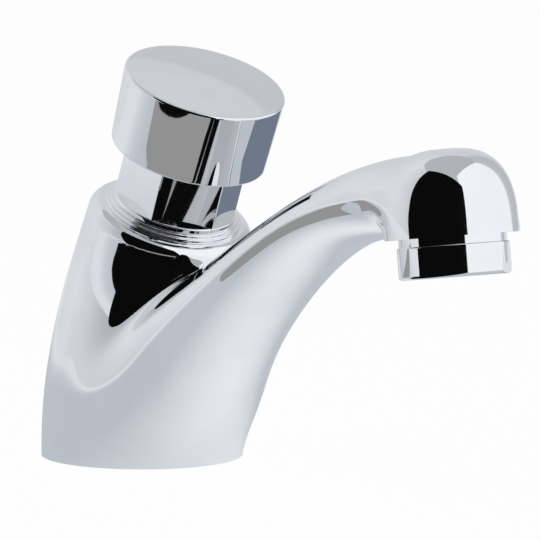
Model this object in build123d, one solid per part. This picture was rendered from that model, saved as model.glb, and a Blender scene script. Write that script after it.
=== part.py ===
from build123d import *
from math import cos, radians, sin
import os

# A push timed tap: a leaning column and a spout cast in one, with a spring-returned push button on top.
# Millimetres. The origin is the centre of the base on the deck, +Z is up and +X points to the outlet.

# Driving sizes of the body
base_radius = 24.0
column_top_x = 14.2
column_top_z = 60.3
column_top_radius = 19.8
push_lean = 23.7
shoulder_round = 3.0
spout_reach = 124.2
rim_height = 63.6
arm_over_rim = 7.5
outlet_lean = 7.7
bell_radius = 14.8
bell_height = 19.2
passage_half_width = 6.5
passage_half_height = 4.0

# Driving sizes of the button and the neck
cap_radius = 19.4
cap_foot_radius = 18.7
cap_height = 18.6
cap_foot_height = 16.5
cap_skirt_wall = 2.8
cap_top_wall = 3.0
cap_edge_round = 0.6
push_travel = 8.0
hex_corner_radius = 13.9
collar_radius = 16.5
stem_radius = 3.0
sleeve_radius = 10.4
sleeve_wall = 1.6

# Driving sizes of the inlet and the outlet
inlet_radius = 9.3
inlet_depth = 11.5
strainer_seat_depth = 1.5
strainer_seat_radius = 8.2
aerator_radius = 12.4
aerator_drop = 8.9
aerator_wall = 1.4

# Driving sizes of the cartridge
thread_length = 12.0
thread_relief = 1.0
sleeve_depth = 4.0
sleeve_floor_wall = 3.0
chamber_step = 1.0
port_rise = 5.5
piston_depth = 3.0
piston_height = 5.0
thrust_washer_thickness = 1.0
spring_wire_radius = 0.5
spring_turns = 6
seat_lip = 1.5
valve_washer_thickness = 2.0
holder_floor = 1.2
screw_head_height = 1.8
screw_room = 1.5
travel_room = 2.6
stem_end_gap = 1.1

# Clearances: between threaded or pressed pieces, and between pieces that slide
seat_clearance = 0.05
running_clearance = 0.08
moving_clearance = 0.3
cut_overrun = 1.0

# The height of the spout's middle line over the head
arm_rise = rim_height + arm_over_rim

right_angle = 90
half_turn = 180
full_turn = 360
hexagon_sides = 6

# Heights along the push axis, from the column's top face: the cap and the neck, and down to the valve
cap_top = cap_foot_height + cap_height
cap_ceiling = cap_top - cap_top_wall
stem_top = cap_ceiling - stem_end_gap
hex_top = cap_ceiling - push_travel - travel_room
thread_foot = -thread_length
chamber_top = thread_foot - thread_relief
sleeve_top = -sleeve_depth
piston_top = -piston_depth
piston_foot = piston_top - piston_height
spring_top = piston_foot - thrust_washer_thickness
closed_spring = 2 * spring_wire_radius * (spring_turns + 1)
sleeve_floor = spring_top - push_travel - closed_spring
sleeve_foot = sleeve_floor - sleeve_floor_wall
chamber_foot = sleeve_floor + chamber_step
port_height = sleeve_floor + port_rise
sleeve_seal_height = (sleeve_floor + sleeve_foot) / 2
seat_face = sleeve_foot - seat_lip
valve_washer_foot = seat_face - valve_washer_thickness
holder_foot = valve_washer_foot - holder_floor
valve_chamber_foot = holder_foot - screw_head_height - push_travel - screw_room


# Frames of the two leaning axes

def point_on_push_axis(height):
    """A point on the push axis, at a height above the column's top face."""
    lean = radians(push_lean)
    return Vector(column_top_x + height * sin(lean), 0, column_top_z + height * cos(lean))


def on_push_axis(shape):
    """Moves a shape made on the Z axis to the push axis, with its zero at the column's top face."""
    lean = radians(push_lean)
    frame = Plane(
        origin=(column_top_x, 0, column_top_z),
        x_dir=(cos(lean), 0, -sin(lean)),
        z_dir=(sin(lean), 0, cos(lean)),
    )
    return Location(frame) * shape


def on_outlet_axis(shape):
    """Moves a shape made on the Z axis to the outlet axis, with its zero at the bell's rim."""
    lean = radians(outlet_lean)
    frame = Plane(
        origin=(spout_reach, 0, rim_height),
        x_dir=(cos(lean), 0, sin(lean)),
        z_dir=(-sin(lean), 0, cos(lean)),
    )
    return Location(frame) * shape


# Shapes that several pieces use

def turned(points):
    """A solid turned about the Z axis from an outline of (radius, height) points."""
    outline = Polyline(*points, close=True)
    return revolve(Plane.XZ * make_face(outline), Axis.Z)


def ring(outer, inner, low, high):
    """A plain ring about the Z axis."""
    return turned(((inner, low), (outer, low), (outer, high), (inner, high)))


def rod(radius, low, high):
    """A plain rod on the Z axis."""
    return Pos(0, 0, (low + high) / 2) * Cylinder(radius, high - low)


def torus_ring(mean_radius, section_radius, height):
    """A round-section rubber ring about the Z axis."""
    return Pos(0, 0, height) * Torus(mean_radius, section_radius)


def hexagon_bar(corner_radius, low, high):
    """A six-sided bar on the Z axis, with a corner on +X."""
    return Pos(0, 0, low) * extrude(RegularPolygon(corner_radius, hexagon_sides), high - low)


def section(x, z, lean, half_width, half_depth):
    """A round or flattened section across the casting, wide along Y."""
    angle = radians(lean)
    plane = Plane(origin=(x, 0, z), x_dir=(0, 1, 0), z_dir=(sin(angle), 0, cos(angle)))
    return plane * Ellipse(half_width, half_depth)


def heading(lean):
    """The direction that a path takes through a section."""
    angle = radians(lean)
    return (sin(angle), 0, cos(angle))


def swept(rows):
    """A smooth solid through rows of x, z, lean, half width and half depth."""
    sections = [section(*row) for row in rows]
    points = [(row[0], 0, row[1]) for row in rows]
    path = Spline(*points, tangents=(heading(rows[0][2]), heading(rows[-1][2])))
    return sweep(sections, path, multisection=True)


# The body casting
# Each row of column shares: along column_top_x, up column_top_z, lean as a share of push_lean, radius share.

column_shares = (
    (0.0, 0.0, 0.0, 1.0),
    (0.24, 0.4, 0.2, 1.0),
    (0.5, 0.71, 0.6, 0.893),
)

# Each row of arm shares: along spout_reach, up arm_rise, lean in right angles, half width and half depth as
# shares of base_radius.

arm_shares = (
    (0.0, 0.0, 0.0, 0.96, 0.96),
    (0.104, 0.25, 0.33, 0.95, 0.83),
    (0.215, 0.416, 0.431, 0.8, 0.625),
    (0.391, 0.637, 0.684, 0.66, 0.396),
    (0.651, 0.894, 0.812, 0.625, 0.304),
)

# Each row of head shares: back from the outlet's middle, up from the rim as a share of bell_height, lean in
# right angles, half width and half depth. The other shares are of bell_radius.

arm_head_shares = (
    (1.075, 0.39, 0.959, 0.96, 0.602),
    (0.42, 0.428, 1.02, 0.843, 0.613),
)
hood_head_shares = (
    (1.2, 0.354, 0.955, 0.98, 0.24),
    (0.554, 0.401, 1.39, 0.985, 0.64),
)
hood_inset = 0.2

# Each row of passage shares: along spout_reach, up arm_rise, lean in right angles. The head's rows are placed as
# above.

passage_shares = (
    (0.09, 0.575, 1.15),
    (0.218, 0.525, 0.95),
    (0.391, 0.637, 0.684),
    (0.651, 0.894, 0.812),
)
passage_head_shares = (
    (1.075, 0.39, 0.959),
    (0.25, 0.445, 1.0),
)
dome_shares = ((0.985, 0.26), (0.89, 0.63), (0.62, 0.9))

chamber_radius = 13.5
valve_chamber_radius = 8.0
inlet_passage_radius = 6.0
thread_radius = 11.5
gasket_thickness = 2.0
gasket_radius = 21.0
gasket_inner_radius = 14.0
outlet_thread_radius = 11.4
outlet_thread_length = 8.0
outlet_chamber_radius = 9.0
outlet_chamber_height = 13.0


def column():
    """The leaning column, round in section, with a rounded shoulder at its top."""
    rows = []
    for along, up, lean, radius in column_shares:
        size = radius * base_radius
        rows.append((along * column_top_x, up * column_top_z, lean * push_lean, size, size))
    rows.append((column_top_x, column_top_z, push_lean, column_top_radius, column_top_radius))
    solid = swept(rows)
    rim = solid.edges().sort_by(Axis.Z)[-1]
    return fillet(rim, shoulder_round)


def run_place(along, up, lean):
    """The place and lean of a section along the spout's run."""
    return along * spout_reach, up * arm_rise, lean * right_angle


def head_place(back, up, lean):
    """The place and lean of a section in the head, from the outlet's middle."""
    return spout_reach - back * bell_radius, rim_height + up * bell_height, lean * right_angle


def arm():
    """The spout, from the whole base to the head."""
    rows = []
    for along, up, lean, wide, deep in arm_shares:
        rows.append((*run_place(along, up, lean), wide * base_radius, deep * base_radius))
    for back, up, lean, wide, deep in arm_head_shares:
        rows.append((*head_place(back, up, lean), wide * bell_radius, deep * bell_radius))
    return swept(rows)


def hood():
    """The head's cheeks, which reach from the sides of the arm down to the bell's rim."""
    rows = []
    for back, up, lean, wide, deep in hood_head_shares:
        rows.append((*head_place(back, up, lean), wide * bell_radius, deep * bell_radius))
    lean = radians(outlet_lean)
    foot = bell_radius - hood_inset
    rows.append((spout_reach - hood_inset * sin(lean), rim_height + hood_inset * cos(lean),
                 half_turn - outlet_lean, foot, foot))
    return swept(rows)


def bell():
    """The domed head around the outlet."""
    crown = [(bell_radius, 0)]
    for out, up in dome_shares:
        crown.append((out * bell_radius, up * bell_height))
    crown.append((0, bell_height))
    curve = Spline(*crown, tangents=((0, 1), (-1, 0)))
    floor = Polyline((0, bell_height), (0, 0), (bell_radius, 0))
    return on_outlet_axis(revolve(Plane.XZ * make_face([curve, floor]), Axis.Z))


def passage():
    """The waterway from the cartridge chamber to the outlet."""
    places = [run_place(*row) for row in passage_shares]
    places += [head_place(*row) for row in passage_head_shares]
    return swept([(*place, passage_half_width, passage_half_height) for place in places])


def tap_body():
    """The casting, with its cartridge bore, waterways, inlet thread and outlet thread."""
    solid = arm() + bell() + hood() + column()
    bore = rod(thread_radius + seat_clearance, chamber_top, cut_overrun)
    bore += rod(chamber_radius, chamber_foot, chamber_top)
    bore += rod(sleeve_radius + seat_clearance, sleeve_foot - seat_clearance, chamber_foot)
    bore += rod(valve_chamber_radius, valve_chamber_foot, sleeve_foot - seat_clearance)
    solid -= on_push_axis(bore)
    foot = point_on_push_axis(valve_chamber_foot)
    solid -= rod(inlet_radius, -cut_overrun, inlet_depth)
    solid -= rod(strainer_seat_radius, inlet_depth, inlet_depth + strainer_seat_depth)
    solid -= rod(inlet_passage_radius, inlet_depth, foot.Z + cut_overrun)
    solid -= ring(gasket_radius, gasket_inner_radius, -cut_overrun, gasket_thickness)
    solid -= passage()
    outlet = rod(outlet_thread_radius + seat_clearance, -cut_overrun, outlet_thread_length)
    outlet += rod(outlet_chamber_radius, outlet_thread_length, outlet_chamber_height)
    return solid - on_outlet_axis(outlet)


# The neck: collar, bonnet nut and the stem's guide and seals

collar_step_radius = 15.7
collar_step_height = 1.1
collar_height = 1.8
collar_chamfer = 0.3
flange_radius = 15.0
flange_height = 1.3
hex_chamfer = 1.2
nut_recess_radius = 7.4
nut_recess_depth = 6.0
bush_radius = 5.0
bush_length = 6.0
seal_section = 0.9
seal_gap = 0.2
bonnet_floor = 6.0
o_ring_section = 0.9
bonnet_seal_height = -2.0


def bonnet_groove():
    """The rubber ring's groove in the bonnet's barrel."""
    half = o_ring_section + seat_clearance
    return ring(thread_radius + cut_overrun, thread_radius - 2 * half + seat_clearance,
                bonnet_seal_height - half, bonnet_seal_height + half)


def bonnet_o_ring():
    """The ring that seals the neck in the body."""
    return on_push_axis(torus_ring(thread_radius - o_ring_section, o_ring_section, bonnet_seal_height))


def collar_ring():
    """The stepped trim ring, with eased edges."""
    inner = thread_radius + running_clearance
    return on_push_axis(turned((
        (inner, 0),
        (collar_radius, 0),
        (collar_radius, collar_step_height - collar_chamfer),
        (collar_radius - collar_chamfer, collar_step_height),
        (collar_step_radius, collar_step_height),
        (collar_step_radius, collar_height - collar_chamfer),
        (collar_step_radius - collar_chamfer, collar_height),
        (inner, collar_height),
    )))


def bonnet_nut():
    """The hexagonal neck with its flange, barrel, stem bore and the socket for the timing sleeve."""
    flange_top = collar_height + flange_height
    solid = hexagon_bar(hex_corner_radius, flange_top, hex_top)
    crown = turned((
        (0, flange_top),
        (hex_corner_radius + cut_overrun, flange_top),
        (hex_corner_radius + cut_overrun, hex_top - hex_chamfer),
        (hex_corner_radius - hex_chamfer, hex_top),
        (0, hex_top),
    ))
    solid &= crown
    solid += rod(flange_radius, collar_height, flange_top)
    solid += rod(thread_radius, thread_foot, collar_height)
    solid -= bonnet_groove()
    recess_floor = hex_top - nut_recess_depth
    solid -= rod(nut_recess_radius, recess_floor, hex_top + cut_overrun)
    solid -= rod(bush_radius + seat_clearance, recess_floor - bush_length, recess_floor + cut_overrun)
    seal_top = recess_floor - bush_length
    seal_foot = seal_top - 2 * (seal_section + seat_clearance)
    solid -= rod(stem_radius + running_clearance + seal_gap, sleeve_top, seal_top + cut_overrun)
    solid -= rod(bush_radius - seat_clearance, seal_foot, seal_top + cut_overrun)
    solid -= rod(sleeve_radius - sleeve_wall, sleeve_top - cut_overrun, bonnet_floor)
    solid -= rod(sleeve_radius + seat_clearance, thread_foot - cut_overrun, sleeve_top)
    return on_push_axis(solid)


def stem_bush():
    """The plain bearing of the stem."""
    top = hex_top - nut_recess_depth
    return on_push_axis(ring(bush_radius, stem_radius + running_clearance, top - bush_length, top))


def stem_o_ring():
    """The stem's seal, under its bush."""
    height = hex_top - nut_recess_depth - bush_length - seal_section - seat_clearance
    return on_push_axis(torus_ring(stem_radius + running_clearance + seal_section, seal_section, height))


# The timing cartridge

port_count = 6
port_radius = 2.0
seat_radius = 6.0
seat_bore_radius = 4.2


def cartridge_sleeve():
    """The timing cylinder, with ports in its wall and a groove at its foot."""
    inner = sleeve_radius - sleeve_wall
    solid = rod(sleeve_radius, sleeve_foot, sleeve_top)
    solid -= rod(inner, sleeve_floor, sleeve_top + cut_overrun)
    solid -= rod(seat_radius + seat_clearance, sleeve_foot - cut_overrun, sleeve_floor + cut_overrun)
    for number in range(port_count):
        port = Pos(sleeve_radius, 0, 0) * Rot(0, right_angle, 0) * Cylinder(port_radius, sleeve_radius)
        solid -= Pos(0, 0, port_height) * Rot(0, 0, number * full_turn / port_count) * port
    half = o_ring_section + seat_clearance
    solid -= ring(sleeve_radius + cut_overrun, sleeve_radius - 2 * half + seat_clearance,
                  sleeve_seal_height - half, sleeve_seal_height + half)
    return on_push_axis(solid)


def sleeve_o_ring():
    """The ring that seals the sleeve's foot in the body."""
    return on_push_axis(torus_ring(sleeve_radius - o_ring_section, o_ring_section, sleeve_seal_height))


def valve_seat():
    """The seat that the valve washer closes on, from below."""
    return on_push_axis(ring(seat_radius, seat_bore_radius, sleeve_foot - seat_lip, sleeve_floor))


# The stem and what it carries

piston_groove_depth = 1.8
piston_groove_height = 2.4
cup_lip = 0.5
pin_radius = 0.4
pin_offset = 5.0
clip_radius = 4.3
clip_thickness = 0.8
thrust_washer_bore = 5.7
spring_radius = 6.6
valve_washer_radius = 5.6
holder_radius = 6.6
screw_radius = 1.5
screw_head_radius = 3.2
screw_length = 7.0
screw_slot_width = 0.8
screw_slot_depth = 0.9


def push_stem():
    """The rod from the cap down through the piston to the valve."""
    solid = rod(stem_radius, valve_washer_foot, stem_top)
    solid -= rod(screw_radius + seat_clearance, valve_washer_foot - cut_overrun,
                 valve_washer_foot + screw_length)
    solid -= ring(stem_radius + cut_overrun, stem_radius - clip_thickness / 2,
                  spring_top, spring_top + clip_thickness)
    return on_push_axis(solid)


def piston():
    """The piston, with a groove for its cup seal and a hole for the timing pin."""
    outer = sleeve_radius - sleeve_wall - running_clearance
    solid = ring(outer, stem_radius + seat_clearance, piston_foot, piston_top)
    middle = (piston_foot + piston_top) / 2
    solid -= ring(outer + cut_overrun, outer - piston_groove_depth,
                  middle - piston_groove_height / 2, middle + piston_groove_height / 2)
    solid -= Pos(pin_offset, 0, 0) * rod(pin_radius + seat_clearance, piston_foot - cut_overrun,
                                         piston_top + cut_overrun)
    return on_push_axis(solid)


def piston_cup_seal():
    """The rubber lip seal in the piston's groove."""
    outer = sleeve_radius - sleeve_wall - running_clearance
    middle = (piston_foot + piston_top) / 2
    half = piston_groove_height / 2 - seat_clearance
    inner = outer - piston_groove_depth + seat_clearance
    return on_push_axis(turned((
        (inner, middle - half),
        (outer - cup_lip, middle - half),
        (outer, middle + half - cup_lip),
        (outer, middle + half),
        (outer - cup_lip, middle + half),
        (inner + cup_lip, middle),
        (inner, middle),
    )))


def timing_pin():
    """The metering pin in the piston."""
    return on_push_axis(Pos(pin_offset, 0, 0) * rod(pin_radius, piston_foot, piston_top))


def stem_clip():
    """The spring clip under the piston, open on one side."""
    inner = stem_radius - clip_thickness / 2 + seat_clearance
    solid = ring(clip_radius, inner, spring_top, spring_top + clip_thickness)
    mouth = Pos(clip_radius, 0, spring_top + clip_thickness / 2) * Box(
        2 * clip_radius, stem_radius, 2 * clip_thickness)
    return on_push_axis(solid - mouth)


def thrust_washer():
    """The washer between the spring and the piston, on which the button turns."""
    outer = sleeve_radius - sleeve_wall - moving_clearance
    return on_push_axis(ring(outer, thrust_washer_bore, spring_top, piston_foot))


def return_spring():
    """The coil spring between the sleeve's floor and the thrust washer."""
    low = sleeve_floor + spring_wire_radius
    high = spring_top - spring_wire_radius
    pitch = (high - low) / spring_turns
    path = Pos(0, 0, low) * Helix(pitch, high - low, spring_radius)
    start = path @ 0
    profile = Plane(origin=start, x_dir=(1, 0, 0), z_dir=path % 0) * Circle(spring_wire_radius)
    return on_push_axis(sweep(profile, path, is_frenet=True))


def valve_washer():
    """The rubber disc that closes on the seat."""
    inner = stem_radius + seat_clearance
    return on_push_axis(ring(valve_washer_radius, inner, valve_washer_foot, seat_face))


def washer_holder():
    """The brass cup that backs the valve washer."""
    solid = rod(holder_radius, holder_foot, (valve_washer_foot + seat_face) / 2)
    solid -= rod(valve_washer_radius + seat_clearance, valve_washer_foot, seat_face)
    solid -= rod(screw_radius + seat_clearance, holder_foot - cut_overrun, valve_washer_foot + cut_overrun)
    return on_push_axis(solid)


def holder_screw():
    """The slotted screw in the stem's end."""
    head = rod(screw_head_radius, holder_foot - screw_head_height, holder_foot)
    slot = Pos(0, 0, holder_foot - screw_head_height) * Box(
        2 * screw_head_radius + cut_overrun, screw_slot_width, 2 * screw_slot_depth)
    shank_top = valve_washer_foot + screw_length - cut_overrun
    return on_push_axis(head - slot + rod(screw_radius, holder_foot, shank_top))


# The button

cap_boss_radius = 6.0
cap_boss_length = 4.0
lock_nut_corner_radius = 5.6
lock_nut_height = 3.0


def push_cap():
    """The round button: a tapered shell with a boss inside for the stem."""
    shell = turned((
        (0, cap_foot_height),
        (cap_foot_radius, cap_foot_height),
        (cap_radius, cap_top),
        (0, cap_top),
    ))
    shell = fillet(shell.edges().filter_by(GeomType.CIRCLE), cap_edge_round)
    shell -= turned((
        (0, cap_foot_height - cut_overrun),
        (cap_foot_radius - cap_skirt_wall, cap_foot_height - cut_overrun),
        (cap_radius - cap_skirt_wall, cap_ceiling),
        (0, cap_ceiling),
    ))
    boss_foot = cap_ceiling - cap_boss_length
    shell += rod(cap_boss_radius, boss_foot, cap_ceiling + cap_top_wall / 2)
    shell -= rod(stem_radius + seat_clearance, boss_foot - cut_overrun, stem_top + seat_clearance)
    return on_push_axis(shell)


def stem_lock_nut():
    """The nut that locks the cap on the stem."""
    high = cap_ceiling - cap_boss_length
    solid = hexagon_bar(lock_nut_corner_radius, high - lock_nut_height, high)
    bore = rod(stem_radius + seat_clearance, high - lock_nut_height - cut_overrun, high + cut_overrun)
    return on_push_axis(solid - bore)


# The inlet

strainer_wall = 0.8
strainer_height = 6.0
strainer_lip = 1.2
strainer_hole_radius = 0.9
strainer_hole_spacing = 3.0
strainer_hole_count = 6


def inlet_strainer():
    """The filter cup above the inlet thread, with a ring of holes in its top."""
    top = inlet_depth + strainer_seat_depth
    low = top - strainer_lip
    cup_radius = inlet_passage_radius - seat_clearance
    solid = rod(strainer_seat_radius - seat_clearance, low, top)
    solid += rod(cup_radius, top, top + strainer_height)
    solid -= rod(cup_radius - strainer_wall, low - cut_overrun, top + strainer_height - strainer_wall)
    hole = rod(strainer_hole_radius, top, top + strainer_height + cut_overrun)
    solid -= hole
    for number in range(strainer_hole_count):
        turn = Rot(0, 0, number * full_turn / strainer_hole_count)
        solid -= turn * Pos(strainer_hole_spacing, 0, 0) * hole
    return solid


def base_gasket():
    """The rubber ring in the base's groove."""
    return ring(gasket_radius - seat_clearance, gasket_inner_radius + seat_clearance, 0, gasket_thickness)


# The aerator

aerator_neck_radius = 11.9
aerator_neck_height = 1.8
aerator_round = 0.8
flat_height = 2.4
flat_depth = 0.55
flat_turn = 38
aerator_thread_length = 5.5
insert_ledge = 1.0
insert_wall = 1.0
insert_height = 9.0
insert_hole_radius = 0.7
insert_hole_circle = 5.5
insert_hole_count = 12
screen_thickness = 0.4
screen_pitch = 2.4
screen_bar = 0.7
washer_thickness = 1.6


def spanner_flats():
    """The two blocks that cut the spanner flats."""
    outer = aerator_radius + cut_overrun
    depth = outer - (aerator_radius - flat_depth)
    blocks = []
    for side in (0, half_turn):
        block = Pos(outer - depth / 2, 0, -aerator_drop + flat_height / 2 - cut_overrun / 2) * Box(
            depth, 2 * outer, flat_height + cut_overrun)
        blocks.append(Rot(0, 0, flat_turn + side) * block)
    return blocks


def aerator_housing():
    """The outlet ring: thread, neck, plain rim and two spanner flats."""
    thread_inner = outlet_thread_radius - aerator_wall
    solid = rod(outlet_thread_radius, 0, aerator_thread_length)
    solid += rod(aerator_neck_radius, -aerator_neck_height, 0)
    rim = rod(aerator_radius, -aerator_drop, -aerator_neck_height)
    rim = fillet(rim.edges().filter_by(GeomType.CIRCLE).sort_by(Axis.Z)[0], aerator_round)
    solid += rim
    for block in spanner_flats():
        solid -= block
    solid -= rod(thread_inner, -aerator_drop + insert_ledge, aerator_thread_length + cut_overrun)
    solid -= rod(thread_inner - insert_ledge, -aerator_drop - cut_overrun, aerator_thread_length)
    return on_outlet_axis(solid)


def aerator_insert():
    """The plastic core: a cup with a ring of jet holes."""
    outer = outlet_thread_radius - aerator_wall - seat_clearance
    low = -aerator_drop + insert_ledge + screen_thickness
    solid = rod(outer, low, low + insert_height)
    solid -= rod(outer - insert_wall, low - cut_overrun, low + insert_height - insert_wall)
    for number in range(insert_hole_count):
        hole = Pos(insert_hole_circle, 0, 0) * rod(
            insert_hole_radius, low + insert_height - 2 * insert_wall, low + insert_height + cut_overrun)
        solid -= Rot(0, 0, number * full_turn / insert_hole_count) * hole
    return on_outlet_axis(solid)


def aerator_screen():
    """The mesh across the outlet: a rim with crossing bars."""
    outer = outlet_thread_radius - aerator_wall - seat_clearance
    low = -aerator_drop + insert_ledge
    rim_inner = outer - insert_wall
    solid = ring(outer, rim_inner, low, low + screen_thickness)
    count = int(rim_inner / screen_pitch)
    for number in range(-count, count + 1):
        half = (rim_inner ** 2 - (number * screen_pitch) ** 2) ** 0.5
        bar = Box(2 * (half + insert_wall / 2), screen_bar, screen_thickness)
        placed = Pos(0, number * screen_pitch, low + screen_thickness / 2) * bar
        solid += placed
        solid += Rot(0, 0, right_angle) * placed
    return on_outlet_axis(solid)


def aerator_washer():
    """The rubber ring above the aerator's thread."""
    return on_outlet_axis(ring(outlet_thread_radius - seat_clearance,
                               outlet_thread_radius - aerator_wall - insert_wall,
                               aerator_thread_length, aerator_thread_length + washer_thickness))


pieces = (
    tap_body,
    push_cap,
    bonnet_nut,
    collar_ring,
    bonnet_o_ring,
    stem_bush,
    stem_o_ring,
    push_stem,
    stem_lock_nut,
    cartridge_sleeve,
    sleeve_o_ring,
    piston,
    piston_cup_seal,
    timing_pin,
    stem_clip,
    thrust_washer,
    return_spring,
    valve_seat,
    valve_washer,
    washer_holder,
    holder_screw,
    inlet_strainer,
    base_gasket,
    aerator_housing,
    aerator_insert,
    aerator_screen,
    aerator_washer,
)

os.makedirs("parts", exist_ok=True)
for piece in pieces:
    export_step(piece(), os.path.join("parts", piece.__name__ + ".step"))
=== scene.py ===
"""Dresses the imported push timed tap: casting, button, neck, outlet, inner works and studio."""

import logging
import math
from dataclasses import dataclass, field
from enum import Enum

import bmesh
import bpy
import numpy as np
from mathutils import Matrix, Vector


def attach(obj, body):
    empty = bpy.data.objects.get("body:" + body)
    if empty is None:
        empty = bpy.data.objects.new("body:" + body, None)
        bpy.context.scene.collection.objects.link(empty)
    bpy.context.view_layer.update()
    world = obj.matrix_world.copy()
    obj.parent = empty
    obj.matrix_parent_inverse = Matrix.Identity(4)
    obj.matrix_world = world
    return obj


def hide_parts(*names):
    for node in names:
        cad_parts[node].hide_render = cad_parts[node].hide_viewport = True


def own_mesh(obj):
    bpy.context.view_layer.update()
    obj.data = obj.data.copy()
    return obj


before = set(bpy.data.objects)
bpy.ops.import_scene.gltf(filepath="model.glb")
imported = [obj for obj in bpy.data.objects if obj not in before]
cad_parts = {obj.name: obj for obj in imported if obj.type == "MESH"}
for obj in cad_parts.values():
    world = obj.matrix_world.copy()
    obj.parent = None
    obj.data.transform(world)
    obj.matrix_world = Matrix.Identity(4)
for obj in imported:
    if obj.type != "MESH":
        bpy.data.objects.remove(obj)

logger = logging.getLogger("tap")

AROUND = 144
ROUND_STEPS = 6
SHARP_ANGLE = math.radians(32)
RIGHT_ANGLE = math.pi / 2
OVERRUN = 0.004
MARGIN = 0.001
TINY = 1e-6
MERGE = 1e-7
FLAT_WEIGHT = 100
SMEAR_EDGES = (0.42, 0.7)
SMEAR_DETAIL = 3
MARK_DETAIL = 2
WHITE = (1, 1, 1, 1)

Tone = tuple[float, float, float]
Place = tuple[float, float, float]
Outline = list[tuple[float, float]]


class Body(Enum):
    """The bodies that the scene's own pieces ride on."""

    TAP = "tap"
    BUTTON = "button"


class Slot(Enum):
    """The material slots of the part's record."""

    CHROME = "chrome"
    BRASS = "brass"
    RUBBER = "rubber"
    PLASTIC = "plastic"
    STEEL = "steel"


# Axes


@dataclass(frozen=True)
class LeaningAxis:
    """An axis in the XZ plane on which turned pieces stand."""

    foot: Place
    lean: float

    def matrix(self) -> Matrix:
        """The placing of a piece made on the Z axis, with its zero at the axis' foot."""
        return Matrix.Translation(self.foot) @ Matrix.Rotation(self.lean, 4, "Y")

    def direction(self) -> Vector:
        """The axis' own direction."""
        return Vector((math.sin(self.lean), 0, math.cos(self.lean)))

    def point(self, height: float) -> Vector:
        """The point on the axis at a height above its foot."""
        return Vector(self.foot) + height * self.direction()


PUSH_AXIS = LeaningAxis(foot=(0.0142, 0, 0.0603), lean=math.radians(23.7))
OUTLET_AXIS = LeaningAxis(foot=(0.1242, 0, 0.0636), lean=math.radians(-7.7))
INLET_AXIS = LeaningAxis(foot=(0, 0, 0), lean=0)


# Finishes


class Wiring:
    """A node tree that is built a node at a time."""

    def __init__(self, tree: bpy.types.NodeTree) -> None:
        """Takes up a tree."""
        self.tree = tree

    def feed(self, node: bpy.types.Node, inputs: dict) -> None:
        """Fills a node's sockets.

        Args:
            node: the node.
            inputs: a value or another node's output for each socket, by the socket's name or number.
        """
        for socket, value in inputs.items():
            if isinstance(value, bpy.types.NodeSocket):
                self.tree.links.new(value, node.inputs[socket])
            else:
                node.inputs[socket].default_value = value

    def add(self, kind: str, inputs: dict | None = None, **settings: object) -> bpy.types.Node:
        """Adds a node.

        Args:
            kind: the node's type.
            inputs: what its sockets take.
            settings: its other settings.

        Returns:
            The node.
        """
        node = self.tree.nodes.new(kind)
        for name, value in settings.items():
            setattr(node, name, value)
        self.feed(node, inputs or {})
        return node


def bare_material(name: str) -> tuple[bpy.types.Material, Wiring]:
    """A material without nodes, and the wiring that fills it.

    Args:
        name: the material's name.

    Returns:
        The material and its wiring.
    """
    material = bpy.data.materials.new(name)
    material.use_nodes = True
    material.node_tree.nodes.clear()
    return material, Wiring(material.node_tree)


def handling_group() -> bpy.types.NodeTree:
    """The marks of use that every finish shares.

    Returns:
        A group that puts out a roughness with faint smears in it, the height of fine wiping marks and
        the smears.
    """
    tree = bpy.data.node_groups.new("handling marks", "ShaderNodeTree")
    sizes = {"Roughness": 0.05, "Smears": 0.02, "Smear Scale": 60.0, "Mark Scale": 900.0}
    for title, value in sizes.items():
        socket = tree.interface.new_socket(title, in_out="INPUT", socket_type="NodeSocketFloat")
        socket.default_value = value
    for title in ("Roughness", "Height", "Smear"):
        tree.interface.new_socket(title, in_out="OUTPUT", socket_type="NodeSocketFloat")
    wiring = Wiring(tree)
    start = wiring.add("NodeGroupInput").outputs
    place = wiring.add("ShaderNodeTexCoord").outputs["Object"]
    smear = wiring.add("ShaderNodeTexNoise", {
        "Vector": place,
        "Scale": start["Smear Scale"],
        "Detail": SMEAR_DETAIL,
    })
    spread = wiring.add("ShaderNodeMapRange", {
        "Value": smear.outputs["Fac"],
        "From Min": SMEAR_EDGES[0],
        "From Max": SMEAR_EDGES[1],
    })
    rough = wiring.add("ShaderNodeMath", {
        0: spread.outputs["Result"],
        1: start["Smears"],
        2: start["Roughness"],
    }, operation="MULTIPLY_ADD")
    marks = wiring.add("ShaderNodeTexNoise", {
        "Vector": place,
        "Scale": start["Mark Scale"],
        "Detail": MARK_DETAIL,
    })
    wiring.add("NodeGroupOutput", {
        "Roughness": rough.outputs[0],
        "Height": marks.outputs["Fac"],
        "Smear": spread.outputs["Result"],
    })
    return tree


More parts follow.
